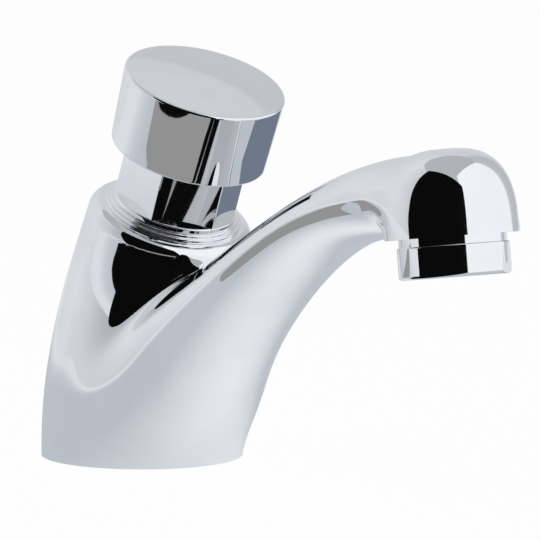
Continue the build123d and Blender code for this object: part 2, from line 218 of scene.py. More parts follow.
@dataclass(frozen=True)
class Finish:
    """A finish: two tones that smears vary between, and how the surface shines."""

    name: str
    slot: Slot
    tone: Tone
    smeared_tone: Tone
    roughness: float
    smears: float
    metallic: float
    smear_scale: float = 60.0
    mark_scale: float = 900.0
    mark_depth: float = 0.00001

    def build(self, marks: bpy.types.NodeTree) -> bpy.types.Material:
        """Makes the finish's material.

        Args:
            marks: the group of handling marks.

        Returns:
            The material.
        """
        material, wiring = bare_material(self.name)
        handled = wiring.add("ShaderNodeGroup", {
            "Roughness": self.roughness,
            "Smears": self.smears,
            "Smear Scale": self.smear_scale,
            "Mark Scale": self.mark_scale,
        }, node_tree=marks).outputs
        tint = wiring.add("ShaderNodeMix", {
            "A": (*self.tone, 1),
            "B": (*self.smeared_tone, 1),
            "Factor": handled["Smear"],
        }, data_type="RGBA")
        bump = wiring.add("ShaderNodeBump", {"Distance": self.mark_depth, "Height": handled["Height"]})
        shader = wiring.add("ShaderNodeBsdfPrincipled", {
            "Base Color": tint.outputs["Result"],
            "Metallic": self.metallic,
            "Roughness": handled["Roughness"],
            "Normal": bump.outputs["Normal"],
        })
        wiring.add("ShaderNodeOutputMaterial", {"Surface": shader.outputs[0]})
        return material


CHROME = Finish("polished chrome", Slot.CHROME, (0.93, 0.935, 0.945), (0.89, 0.895, 0.905), 0.025, 0.02,
                1.0, mark_depth=0.0000006)
BRASS = Finish("turned brass", Slot.BRASS, (0.82, 0.62, 0.3), (0.66, 0.47, 0.22), 0.22, 0.12, 1.0)
RUBBER = Finish("black rubber", Slot.RUBBER, (0.022, 0.022, 0.024), (0.04, 0.04, 0.042), 0.6, 0.15, 0.0,
                mark_depth=0.00004)
PLASTIC = Finish("grey plastic", Slot.PLASTIC, (0.55, 0.56, 0.57), (0.47, 0.48, 0.49), 0.38, 0.1, 0.0,
                 mark_depth=0.00002)
STEEL = Finish("stainless steel", Slot.STEEL, (0.66, 0.66, 0.67), (0.54, 0.54, 0.55), 0.2, 0.1, 1.0)


@dataclass
class Palette:
    """The finishes that have been made, by their names."""

    marks: bpy.types.NodeTree = field(default_factory=handling_group)
    made: dict[str, bpy.types.Material] = field(default_factory=dict)

    def material(self, finish: Finish) -> bpy.types.Material:
        """The material of a finish, made on first use.

        Args:
            finish: the finish.

        Returns:
            The material.
        """
        if finish.name not in self.made:
            self.made[finish.name] = finish.build(self.marks)
        return self.made[finish.name]


# Meshes


def in_scene(name: str, data: bpy.types.ID) -> bpy.types.Object:
    """A new object of some data, linked to the scene.

    Args:
        name: the object's name.
        data: its mesh, camera or lamp.

    Returns:
        The object.
    """
    thing = bpy.data.objects.new(name, data)
    bpy.context.scene.collection.objects.link(thing)
    return thing


def applied(thing: bpy.types.Object) -> bpy.types.Mesh:
    """Works an object's modifiers into a plain mesh and removes the object.

    Args:
        thing: the object.

    Returns:
        The mesh.
    """
    graph = bpy.context.evaluated_depsgraph_get()
    graph.update()
    mesh = bpy.data.meshes.new_from_object(thing.evaluated_get(graph), depsgraph=graph)
    bpy.data.objects.remove(thing)
    return mesh


def values_of(items: bpy.types.bpy_prop_collection, name: str, width: int = 3,
              kind: type = float) -> np.ndarray:
    """A property of all the points, corners or faces of a mesh.

    Args:
        items: the points, corners or faces.
        name: the property.
        width: how many numbers it has.
        kind: the numbers' type.

    Returns:
        The numbers, with a row for each item where it has more than one.
    """
    values = np.empty(len(items) * width, dtype=kind)
    items.foreach_get(name, values)
    return values.reshape(-1, width) if width > 1 else values


def rounded(corners: list[tuple[float, float, float]], closed: bool = True) -> Outline:
    """Rounds the corners of an outline.

    Args:
        corners: points with the radius of the round at each, zero for a sharp corner.
        closed: whether the last point joins the first.

    Returns:
        The outline's points.
    """
    points: Outline = []
    count = len(corners)
    for number, (x, y, radius) in enumerate(corners):
        inner = closed or 0 < number < count - 1
        if radius == 0 or not inner:
            points.append((x, y))
            continue
        here = Vector((x, y))
        before = (Vector(corners[number - 1][:2]) - here).normalized()
        after = (Vector(corners[(number + 1) % count][:2]) - here).normalized()
        half = before.angle(after) / 2
        reach = radius / math.tan(half)
        centre = here + (before + after).normalized() * (radius / math.sin(half))
        first = (here + before * reach - centre).normalized()
        last = (here + after * reach - centre).normalized()
        for step in range(ROUND_STEPS + 1):
            share = step / ROUND_STEPS
            points.append(tuple(centre + first.slerp(last, share) * radius))
    return points


def mesh_of(name: str, points: np.ndarray | list, faces: list) -> bpy.types.Mesh:
    """A mesh with its doubles merged and its faces turned outwards.

    Args:
        name: the mesh's name.
        points: its points.
        faces: its faces, as lists of point numbers.

    Returns:
        The mesh.
    """
    mesh = bpy.data.meshes.new(name)
    mesh.from_pydata([tuple(p) for p in points], [], faces)
    work = bmesh.new()
    work.from_mesh(mesh)
    bmesh.ops.remove_doubles(work, verts=work.verts, dist=MERGE)
    bmesh.ops.dissolve_degenerate(work, edges=work.edges, dist=MERGE)
    bmesh.ops.recalc_face_normals(work, faces=work.faces)
    work.to_mesh(mesh)
    work.free()
    return mesh


def ring_faces(along: int, around: int) -> list:
    """The faces of a closed shell of rings, with a face across each end.

    Args:
        along: the number of rings.
        around: the number of points in a ring.

    Returns:
        The faces, as lists of point numbers.
    """
    faces: list = [tuple(range(around)), tuple(range((along - 1) * around, along * around))]
    for ring in range(along - 1):
        for number in range(around):
            after = (number + 1) % around
            here, there = ring * around, (ring + 1) * around
            faces.append((here + number, here + after, there + after, there + number))
    return faces


def stepped(start: float, steps: list[tuple[float, float]], core: float = 0) -> Outline:
    """The outline of a stepped bore.

    Args:
        start: the height at which it starts.
        steps: the radius of each step and the height at which it ends.
        core: the radius of what stays in the middle.

    Returns:
        The outline's points.
    """
    points = [(core, start)]
    for radius, end in steps:
        points += [(radius, start), (radius, end)]
        start = end
    return [*points, (core, start)]


def turned(name: str, outline: Outline, axis: LeaningAxis, around: int = AROUND) -> bpy.types.Mesh:
    """A closed solid turned from an outline of radius and height.

    Args:
        name: the mesh's name.
        outline: a closed outline, which may touch the axis.
        axis: the axis that it stands on.
        around: the number of steps round it.

    Returns:
        The mesh, in place.
    """
    angles = np.linspace(0, 2 * math.pi, around, endpoint=False)
    profile = np.array(outline)
    points = np.stack([
        np.outer(np.cos(angles), profile[:, 0]),
        np.outer(np.sin(angles), profile[:, 0]),
        np.tile(profile[:, 1], (around, 1)),
    ], axis=-1).reshape(-1, 3)
    size = len(profile)
    faces = []
    for step in range(around):
        here, there = step * size, (step + 1) % around * size
        for number in range(size):
            after = (number + 1) % size
            if profile[number, 0] == 0 and profile[after, 0] == 0:
                continue
            faces.append((here + number, there + number, there + after, here + after))
    mesh = mesh_of(name, points, faces)
    mesh.transform(axis.matrix())
    return mesh


def prism(name: str, outline: Outline, low: float, high: float, axis: LeaningAxis) -> bpy.types.Mesh:
    """A straight bar with an outline across the axis.

    Args:
        name: the mesh's name.
        outline: the bar's outline.
        low: the height of its foot.
        high: the height of its top.
        axis: the axis that it stands on.

    Returns:
        The mesh, in place.
    """
    size = len(outline)
    points = [(x, y, low) for x, y in outline] + [(x, y, high) for x, y in outline]
    mesh = mesh_of(name, points, ring_faces(2, size))
    mesh.transform(axis.matrix())
    return mesh


def block(name: str, size: tuple[float, float, float], place: Matrix) -> bpy.types.Mesh:
    """A cutting block.

    Args:
        name: the mesh's name.
        size: its lengths.
        place: its place.

    Returns:
        The mesh, in place.
    """
    wide, long, high = (length / 2 for length in size)
    corners = [(-wide, -long), (wide, -long), (wide, long), (-wide, long)]
    mesh = prism(name, corners, -high, high, INLET_AXIS)
    mesh.transform(place)
    return mesh


class Fit(Enum):
    """How one solid meets another."""

    JOIN = "UNION"
    CUT = "DIFFERENCE"
    KEEP = "INTERSECT"


def combined(base: bpy.types.Mesh, tools: list[bpy.types.Mesh], fit: Fit) -> bpy.types.Mesh:
    """Joins, cuts or trims a solid by others.

    Args:
        base: the solid.
        tools: the other solids, in order.
        fit: how they meet it.

    Returns:
        The new mesh.
    """
    thing = in_scene(base.name, base)
    helpers = [in_scene(tool.name, tool) for tool in tools]
    for helper in helpers:
        modifier = thing.modifiers.new(helper.name, "BOOLEAN")
        modifier.operation = fit.value
        modifier.solver = "MANIFOLD"
        modifier.object = helper
    mesh = applied(thing)
    for helper in helpers:
        bpy.data.objects.remove(helper)
    return mesh


def smoothed(mesh: bpy.types.Mesh, angle: float = SHARP_ANGLE) -> bpy.types.Mesh:
    """Shades a mesh smooth between its sharp edges, with the flats kept flat.

    Args:
        mesh: the mesh.
        angle: the angle past which an edge is sharp.

    Returns:
        The mesh, with its normals set.
    """
    mesh.shade_smooth()
    mesh.set_sharp_from_angle(angle=angle)
    thing = in_scene(mesh.name, mesh)
    weigh = thing.modifiers.new("weigh", "WEIGHTED_NORMAL")
    weigh.keep_sharp = True
    weigh.weight = FLAT_WEIGHT
    return applied(thing)


def add_piece(name: str, mesh: bpy.types.Mesh, body: Body, finish: Finish, palette: Palette,
              *nodes: str) -> bpy.types.Object:
    """Places a finished piece in the scene.

    Args:
        name: the piece's name.
        mesh: its mesh, in place.
        body: the body that it rides on.
        finish: its finish.
        palette: the finishes that have been made.
        nodes: the CAD nodes that it stands for.

    Returns:
        The piece.
    """
    mesh.name = name
    mesh.materials.clear()
    mesh.materials.append(palette.material(finish))
    piece = in_scene(name, mesh)
    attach(piece, body.value)
    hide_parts(*nodes)
    logger.info("%s: %d faces on %s", name, len(mesh.polygons), body.value)
    return piece


def dress_nodes(names: tuple[str, ...], material: bpy.types.Material) -> None:
    """Gives CAD nodes a finish.

    Args:
        names: the nodes.
        material: the finish's material.
    """
    for name in names:
        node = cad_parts[name]
        if not node.material_slots:
            node.data.materials.append(material)
        for place in node.material_slots:
            place.material = material
        logger.info("%s: %s", name, material.name)


# The casting


Row = tuple[float, float, float, float, float]


class SmoothLine:
    """A smooth line through rows of x, z, lean, half width and half depth, straight beyond its ends."""

    newton_steps = 4
    least_slope = 0.2

    def __init__(self, rows: list[Row]) -> None:
        """Fits the line.

        Args:
            rows: the sections that it runs through.
        """
        self.rows = np.array(rows)
        steps = np.hypot(np.diff(self.rows[:, 0]), np.diff(self.rows[:, 1]))
        self.places = np.concatenate([[0], np.cumsum(steps)])
        self.bends = self._bends(steps)

    def _bends(self, steps: np.ndarray) -> np.ndarray:
        """The line's second derivatives at its rows.

        Args:
            steps: the lengths between the rows.

        Returns:
            One row of second derivatives for each row.
        """
        count = len(self.rows)
        slopes = np.diff(self.rows, axis=0) / steps[:, None]
        left = np.eye(count)
        right = np.zeros_like(self.rows)
        for row in range(1, count - 1):
            before, after = steps[row - 1], steps[row]
            left[row, row - 1:row + 2] = before, 2 * (before + after), after
            right[row] = 6 * (slopes[row] - slopes[row - 1])
        bends = np.linalg.solve(left, right)
        for end, inner in ((0, 1), (-1, -2)):
            left[end, end] = 2 * steps[end]
            left[end, inner] = steps[end]
        heading = np.stack([np.sin(self.rows[:, 2]), np.cos(self.rows[:, 2])], axis=1)
        right[0, :2] = 6 * (slopes[0, :2] - heading[0])
        right[-1, :2] = 6 * (heading[-1] - slopes[-1, :2])
        bends[:, :2] = np.linalg.solve(left, right[:, :2])
        return bends

    def at(self, along: np.ndarray) -> tuple[np.ndarray, np.ndarray]:
        """The line's section at lengths along it.

        Args:
            along: lengths from the first row.

        Returns:
            The sections and how fast they change.
        """
        inside = np.clip(along, 0, self.places[-1])
        row = np.clip(np.searchsorted(self.places, inside, side="right") - 1, 0, len(self.rows) - 2)
        gap = (self.places[row + 1] - self.places[row])[:, None]
        after = (inside - self.places[row])[:, None] / gap
        before = 1 - after
        low, high = self.bends[row], self.bends[row + 1]
        values = before * self.rows[row] + after * self.rows[row + 1]
        values += ((before ** 3 - before) * low + (after ** 3 - after) * high) * gap ** 2 / 6
        changes = (self.rows[row + 1] - self.rows[row]) / gap
        changes += ((1 - 3 * before ** 2) * low + (3 * after ** 2 - 1) * high) * gap / 6
        beyond = along - inside
        heading = np.stack([np.sin(values[:, 2]), np.cos(values[:, 2])], axis=1)
        values[:, :2] += beyond[:, None] * heading
        outside = beyond != 0
        changes[outside, :2] = heading[outside]
        changes[outside, 2:] = 0
        return values, changes

    def offsets(self, points: np.ndarray, sections: np.ndarray) -> tuple[np.ndarray, np.ndarray]:
        """How far points lie ahead of their sections and across them.

        Args:
            points: the points.
            sections: one section for each.

        Returns:
            The lengths ahead and across.
        """
        sine, cosine = np.sin(sections[:, 2]), np.cos(sections[:, 2])
        over, up = points[:, 0] - sections[:, 0], points[:, 2] - sections[:, 1]
        return over * sine + up * cosine, over * cosine - up * sine

    def nearest(self, points: np.ndarray, reach: float = 0.008, count: int = 240) -> np.ndarray:
        """The length along the line of the section that each point lies in, roughly.

        Args:
            points: the points.
            reach: how far beyond its ends the line is searched.
            count: the number of sections tried.

        Returns:
            One length for each point.
        """
        tries = np.linspace(-reach, self.places[-1] + reach, count)
        sections, _ = self.at(tries)
        best = np.full(len(points), tries[0])
        nearest = np.full(len(points), np.inf)
        ahead, _ = self.offsets(points, sections[:1])
        for number in range(1, count):
            further, across = self.offsets(points, sections[number:number + 1])
            crossed = (ahead >= 0) & (further < 0)
            away = np.abs(across) / sections[number, 4]
            closer = crossed & (away < nearest)
            best[closer] = tries[number]
            nearest[closer] = away[closer]
            ahead = further
        missed = np.isinf(nearest) & (ahead >= 0)
        best[missed] = tries[-1]
        return best

    def distance(self, points: np.ndarray, along: np.ndarray) -> np.ndarray:
        """The distance from the swept surface, negative inside it.

        Args:
            points: the points.
            along: a rough length along the line for each.

        Returns:
            One distance for each point.
        """
        for _ in range(self.newton_steps):
            sections, changes = self.at(along)
            ahead, across = self.offsets(points, sections)
            sine, cosine = np.sin(sections[:, 2]), np.cos(sections[:, 2])
            slope = changes[:, 2] * across - changes[:, 0] * sine - changes[:, 1] * cosine
            along = along - ahead / np.minimum(slope, -self.least_slope)
        sections, _ = self.at(along)
        _, across = self.offsets(points, sections)
        wide, deep = sections[:, 3], sections[:, 4]
        share = np.maximum(np.hypot(across / deep, points[:, 1] / wide), TINY)
        steep = np.hypot(across / deep ** 2, points[:, 1] / wide ** 2) / share
        return (share - 1) / np.maximum(steep, TINY)

    def shell(self, low: float, high: float, along: int = 60, around: int = 64) -> tuple[np.ndarray, list]:
        """A closed shell along the line, for a rough shape.

        Args:
            low: the length along the line at which it starts.
            high: how far beyond the last row it ends.
            along: the number of rings.
            around: the number of points in a ring.

        Returns:
            The shell's points and faces.
        """
        sections, _ = self.at(np.linspace(low, self.places[-1] + high, along))
        angles = np.linspace(0, 2 * math.pi, around, endpoint=False)
        points = []
        for x, z, lean, wide, deep in sections:
            over = deep * np.cos(angles)
            ring = [x + over * math.cos(lean), wide * np.sin(angles), z - over * math.sin(lean)]
            points.append(np.stack(ring, axis=1))
        return np.concatenate(points), ring_faces(along, around)


def blended(one: np.ndarray, other: np.ndarray, width: float) -> np.ndarray:
    """The distance from two surfaces that flow together.

    Args:
        one: the distances from the first.
        other: the distances from the second.
        width: how far the valley between them reaches.

    Returns:
        The distances from both together.
    """
    near = np.maximum(width - np.abs(one - other), 0) / width
    return np.minimum(one, other) - near ** 3 * width / 6


def trimmed(one: np.ndarray, other: np.ndarray, radius: float) -> np.ndarray:
    """The distance from a surface that another cuts, with a round between them.

    Args:
        one: the distances from the first.
        other: the distances from the cut.
        radius: the round's radius.

    Returns:
        The distances from what is left.
    """
    first, second = one + radius, other + radius
    outside = np.hypot(np.maximum(first, 0), np.maximum(second, 0))
    return outside + np.minimum(np.maximum(first, second), 0) - radius


@dataclass
class Casting:
    """The tap's body: a leaning column and a spout cast in one, with its bores.

    Column shares: along and up to the column's top, of the push axis' lean, of base_radius. Arm shares:
    along the reach, up the arm's rise, of a right angle, half width and half depth of base_radius. Head
    shares: back from the outlet's middle by bell_radius, up from the rim by bell_height, of a right
    angle, the rest of bell_radius.
    """

    base_radius: float = 0.024
    column_top_radius: float = 0.0198
    column_shares: tuple = (
        (0.0, 0.0, 0.0, 1.0),
        (0.24, 0.4, 0.2, 1.0),
        (0.5, 0.71, 0.6, 0.893),
    )
    arm_over_rim: float = 0.0075
    arm_shares: tuple = (
        (0.01, 0.0, 0.191, 0.942, 0.925),
        (0.104, 0.25, 0.33, 0.95, 0.83),
        (0.215, 0.416, 0.431, 0.8, 0.625),
        (0.391, 0.637, 0.684, 0.66, 0.396),
        (0.651, 0.894, 0.812, 0.625, 0.304),
    )
    arm_head_shares: tuple = (
        (1.075, 0.39, 0.959, 0.96, 0.602),
        (0.42, 0.428, 1.02, 0.843, 0.613),
    )
    hood_head_shares: tuple = (
        (1.608, 0.302, 0.904, 0.932, 0.203),
        (0.912, 0.417, 1.39, 0.966, 0.608),
    )
    hood_inset: float = 0.0002
    bell_radius: float = 0.0148
    bell_height: float = 0.0192
    bell_fullness: float = 2.8
    bell_closing: float = 0.995
    bell_steps: int = 40
    bell_around: int = 64
    easing_steps: int = 6
    least_share: float = 0.001
    shoulder_round: float = 0.003
    valley: float = 0.005
    crown_valley: float = 0.003
    cheek_crease: float = 0.0012
    voxel: float = 0.00078
    skirt: float = 0.003
    trusted: float = 0.0016
    settling_steps: int = 6
    least_steep: float = 0.05
    skin_tolerance: float = 0.00002
    head_share: float = 0.8
    facing_share: float = 0.8
    thread_radius: float = 0.01155
    chamber_top: float = -0.013
    chamber_radius: float = 0.0135
    chamber_foot: float = -0.023
    sleeve_bore: float = 0.01045
    sleeve_foot: float = -0.02705
    valve_bore: float = 0.008
    valve_chamber_foot: float = -0.043
    inlet_radius: float = 0.0093
    inlet_depth: float = 0.0115
    strainer_radius: float = 0.0082
    strainer_depth: float = 0.0015
    waterway_radius: float = 0.006
    waterway_top: float = 0.0222
    gasket_radius: float = 0.021
    gasket_inner_radius: float = 0.014
    gasket_depth: float = 0.002
    outlet_bore: float = 0.01145
    outlet_depth: float = 0.008
    outlet_chamber: float = 0.009
    outlet_chamber_top: float = 0.013
    rim_block: tuple[float, float, float] = (0.036, 0.05, 0.008)

    def __post_init__(self) -> None:
        """Fits the lines of the column, the arm and the hood."""
        top, rim = Vector(PUSH_AXIS.foot), Vector(OUTLET_AXIS.foot)
        column = []
        for along, up, lean, size in self.column_shares:
            radius = size * self.base_radius
            column.append((along * top.x, up * top.z, lean * PUSH_AXIS.lean, radius, radius))
        column.append((top.x, top.z, PUSH_AXIS.lean, self.column_top_radius, self.column_top_radius))
        rise = rim.z + self.arm_over_rim
        arm = []
        for along, up, lean, wide, deep in self.arm_shares:
            half_sizes = (wide * self.base_radius, deep * self.base_radius)
            arm.append((along * rim.x, up * rise, lean * RIGHT_ANGLE, *half_sizes))
        arm += [self._head_row(*row) for row in self.arm_head_shares]
        hood = [self._head_row(*row) for row in self.hood_head_shares]
        end = OUTLET_AXIS.point(self.hood_inset)
        foot = self.bell_radius - self.hood_inset
        hood.append((end.x, end.z, 2 * RIGHT_ANGLE + OUTLET_AXIS.lean, foot, foot))
        self.lines = {"column": SmoothLine(column), "arm": SmoothLine(arm), "hood": SmoothLine(hood)}

    def _head_row(self, back: float, up: float, lean: float, wide: float, deep: float) -> Row:
        """A section in the head, from its shares."""
        x, _, z = OUTLET_AXIS.foot
        return (x - back * self.bell_radius, z + up * self.bell_height, lean * RIGHT_ANGLE,
                wide * self.bell_radius, deep * self.bell_radius)

    def _on_outlet(self, points: np.ndarray) -> tuple[np.ndarray, np.ndarray]:
        """Where points lie round the outlet axis.

        Args:
            points: the points.

        Returns:
            Their distances from the axis and their heights above the rim.
        """
        across = points - np.array(OUTLET_AXIS.foot)
        axis = np.array(OUTLET_AXIS.direction())
        height = across @ axis
        out = np.linalg.norm(across - np.outer(height, axis), axis=1)
        return out, height

    def _bell(self, points: np.ndarray) -> np.ndarray:
        """The distance from the domed head.

        Args:
            points: the points.

        Returns:
            One distance for each, negative inside.
        """
        out, height = self._on_outlet(points)
        side = out / self.bell_radius
        up = np.maximum(height, 0) / self.bell_height
        power = self.bell_fullness
        share = np.maximum((side ** power + up ** power) ** (1 / power), self.least_share)
        steep = np.hypot((side / share) ** (power - 1) / self.bell_radius,
                         (up / share) ** (power - 1) / self.bell_height)
        return (share - 1) / np.maximum(steep, TINY)

    def surface(self, points: np.ndarray, seeds: dict[str, np.ndarray]) -> np.ndarray:
        """The distance from the whole casting, before it is bored.

        Args:
            points: the points.
            seeds: rough lengths along the three lines.

        Returns:
            One distance for each, negative inside.
        """
        top = (points - np.array(PUSH_AXIS.foot)) @ np.array(PUSH_AXIS.direction())
        away = {name: line.distance(points, seeds[name]) for name, line in self.lines.items()}
        column = trimmed(away["column"], top, self.shoulder_round)
        past = self._ahead(points, self.lines["arm"].rows[-1])
        behind = -self._ahead(points, self.lines["hood"].rows[0])
        arm = np.maximum(away["arm"], past)
        hood = np.maximum(away["hood"], behind)
        head = blended(arm, self._bell(points), self.crown_valley)
        head = blended(head, hood, self.cheek_crease)
        return blended(head, column, self.valley)

    def _ahead(self, points: np.ndarray, row: np.ndarray) -> np.ndarray:
        """How far points lie ahead of the plane of a section."""
        x, z, lean = row[:3]
        return (points[:, 0] - x) * math.sin(lean) + (points[:, 2] - z) * math.cos(lean)

    def slope(self, points: np.ndarray, seeds: dict[str, np.ndarray], step: float = 2e-6) -> np.ndarray:
        """The outward direction of the casting's surface at points, unscaled.

        Args:
            points: the points.
            seeds: rough lengths along the three lines.
            step: the length that the slope is measured over.

        Returns:
            One vector for each.
        """
        columns = []
        for direction in np.eye(3):
            ahead = self.surface(points + step * direction, seeds)
            behind = self.surface(points - step * direction, seeds)
            columns.append((ahead - behind) / (2 * step))
        return np.stack(columns, axis=1)

    def seeds(self, points: np.ndarray) -> dict[str, np.ndarray]:
        """Rough lengths along the three lines for points."""
        return {name: line.nearest(points) for name, line in self.lines.items()}

    def rough(self) -> bpy.types.Mesh:
        """The casting's shells, remeshed to one even skin.

        Returns:
            The rough mesh.
        """
        heights = np.linspace(-self.skirt, self.bell_height * self.bell_closing, self.bell_steps)
        up = np.maximum(heights, 0) / self.bell_height
        radii = self.bell_radius * (1 - up ** self.bell_fullness) ** (1 / self.bell_fullness)
        dome = turned("dome", [(0, -self.skirt), *zip(radii, heights), (0, heights[-1])],
                      OUTLET_AXIS, self.bell_around)
        work = bmesh.new()
        work.from_mesh(dome)
        ends = {"column": (-self.skirt, 0), "arm": (-self.skirt, 0), "hood": (0, self.skirt)}
        for name, (low, high) in ends.items():
            work.from_mesh(mesh_of(name, *self.lines[name].shell(low, high)))
        mesh = bpy.data.meshes.new("rough")
        work.to_mesh(mesh)
        work.free()
        thing = in_scene("rough", mesh)
        remesh = thing.modifiers.new("even", "REMESH")
        remesh.mode = "VOXEL"
        remesh.voxel_size = self.voxel
        ease = thing.modifiers.new("ease", "SMOOTH")
        ease.iterations = self.easing_steps
        return applied(thing)

    def skin(self) -> bpy.types.Mesh:
        """The casting's skin, with every point on its true surface.

        Returns:
            The closed mesh, cut flat at the deck.
        """
        mesh = self.rough()
        points = values_of(mesh.vertices, "co")
        _, height = self._on_outlet(points)
        head = points[:, 0] > self.head_share * OUTLET_AXIS.foot[0]
        true = (points[:, 2] > -self.trusted) & ~(head & (height < -self.trusted))
        moved = points[true]
        seeds = self.seeds(moved)
        for _ in range(self.settling_steps):
            away = self.surface(moved, seeds)
            slope = self.slope(moved, seeds)
            step = slope * (away / np.maximum((slope ** 2).sum(axis=1), self.least_steep))[:, None]
            length = np.maximum(np.linalg.norm(step, axis=1), TINY)
            moved -= step * np.minimum(1, self.voxel / length)[:, None]
        points[true] = moved
        mesh.vertices.foreach_set("co", points.ravel())
        work = bmesh.new()
        work.from_mesh(mesh)
        every = [*work.verts, *work.edges, *work.faces]
        bmesh.ops.bisect_plane(work, geom=every, plane_co=(0, 0, 0), plane_no=(0, 0, -1), clear_outer=True)
        bmesh.ops.holes_fill(work, edges=[e for e in work.edges if e.is_boundary], sides=0)
        bmesh.ops.recalc_face_normals(work, faces=work.faces)
        work.to_mesh(mesh)
        work.free()
        return mesh

    def cutters(self) -> list[bpy.types.Mesh]:
        """The solids that the casting's bores and its rim are cut with.

        Returns:
            The cutting solids, in place.
        """
        below = OUTLET_AXIS.matrix() @ Matrix.Translation((0, 0, -self.rim_block[2] / 2))
        seat = self.inlet_depth + self.strainer_depth
        bores = (
            ("cartridge bore", PUSH_AXIS, stepped(OVERRUN, [
                (self.thread_radius, self.chamber_top),
                (self.chamber_radius, self.chamber_foot),
                (self.sleeve_bore, self.sleeve_foot),
                (self.valve_bore, self.valve_chamber_foot),
            ])),
            ("inlet bore", INLET_AXIS, stepped(-OVERRUN, [
                (self.inlet_radius, self.inlet_depth),
                (self.strainer_radius, seat),
                (self.waterway_radius, self.waterway_top),
            ])),
            ("gasket groove", INLET_AXIS, stepped(-OVERRUN, [
                (self.gasket_radius, self.gasket_depth),
            ], self.gasket_inner_radius)),
            ("outlet bore", OUTLET_AXIS, stepped(-OVERRUN, [
                (self.outlet_bore, self.outlet_depth),
                (self.outlet_chamber, self.outlet_chamber_top),
            ])),
        )
        return [
            block("below the rim", self.rim_block, below),
            *(turned(name, outline, axis) for name, axis, outline in bores),
        ]

    def shaded(self, mesh: bpy.types.Mesh) -> bpy.types.Mesh:
        """Sets the normals of the bored casting, which follow its true surface on the skin.

        Args:
            mesh: the bored casting.

        Returns:
            The mesh.
        """
        mesh.shade_smooth()
        mesh.set_sharp_from_angle(angle=SHARP_ANGLE)
        points = values_of(mesh.vertices, "co")
        seeds = self.seeds(points)
        on_skin = np.abs(self.surface(points, seeds)) < self.skin_tolerance
        slope = self.slope(points, seeds)
        slope /= np.maximum(np.linalg.norm(slope, axis=1), TINY)[:, None]
        corners = values_of(mesh.loops, "vertex_index", 1, np.int32)
        normals = values_of(mesh.corner_normals, "vector")
        starts = values_of(mesh.polygons, "loop_start", 1, np.int32)
        totals = values_of(mesh.polygons, "loop_total", 1, np.int32)
        owner = np.repeat(np.arange(len(mesh.polygons)), totals)
        flat = values_of(mesh.polygons, "normal")[owner]
        agree = (flat * slope[corners]).sum(axis=1) > self.facing_share
        good = np.minimum.reduceat((on_skin[corners] & agree).astype(int), starts)[owner] > 0
        normals[good] = slope[corners][good]
        mesh.normals_split_custom_set(normals.tolist())
        return mesh

    def build(self, palette: Palette) -> None:
        """Builds and dresses the casting and its gasket.

        Args:
            palette: the finishes.
        """
        mesh = combined(self.skin(), self.cutters(), Fit.CUT)
        add_piece("body_casting", self.shaded(mesh), Body.TAP, CHROME, palette, "tap_body")
        dress_nodes(("base_gasket",), palette.material(RUBBER))


# The button and the neck


@dataclass
class PushButton:
    """The round button and what joins it to its stem."""

    foot: float = 0.0165
    top: float = 0.0351
    foot_radius: float = 0.0187
    top_radius: float = 0.0194
    crown: float = 0.00018
    crown_reach_share: float = 0.93
    crown_drop_share: float = 0.14
    crown_steps: int = 12
    edge_round: float = 0.0006
    lip_round: float = 0.0005
    skirt_wall: float = 0.0028
    top_wall: float = 0.003
    boss_radius: float = 0.006
    boss_length: float = 0.004
    stem_bore: float = 0.00305
    stem_socket_top: float = 0.03105
    around: int = 192

    def cap(self) -> bpy.types.Mesh:
        """The button's shell, very slightly crowned.

        Returns:
            The mesh.
        """
        ceiling = self.top - self.top_wall
        boss_foot = ceiling - self.boss_length
        rim = self.top - self.crown
        reach = self.top_radius * self.crown_reach_share
        crown = [(reach * share, self.top - self.crown * share ** 2, 0)
                 for share in np.linspace(0, 1, self.crown_steps)]
        outline = rounded([
            *crown,
            (self.top_radius, rim - self.crown * self.crown_drop_share, self.edge_round),
            (self.foot_radius, self.foot, self.lip_round),
            (self.foot_radius - self.skirt_wall, self.foot, self.lip_round),
            (self.top_radius - self.skirt_wall, ceiling, self.lip_round),
            (self.boss_radius, ceiling, self.lip_round),
            (self.boss_radius, boss_foot, 0),
            (self.stem_bore, boss_foot, 0),
            (self.stem_bore, self.stem_socket_top, 0),
            (0, self.stem_socket_top, 0),
        ])
        return turned("cap", outline, PUSH_AXIS, self.around)

    def build(self, palette: Palette) -> None:
        """Builds and dresses the button.

        Args:
            palette: the finishes.
        """
        add_piece("button_cap", smoothed(self.cap()), Body.BUTTON, CHROME, palette, "push_cap")
        dress_nodes(("stem_lock_nut", "push_stem"), palette.material(STEEL))


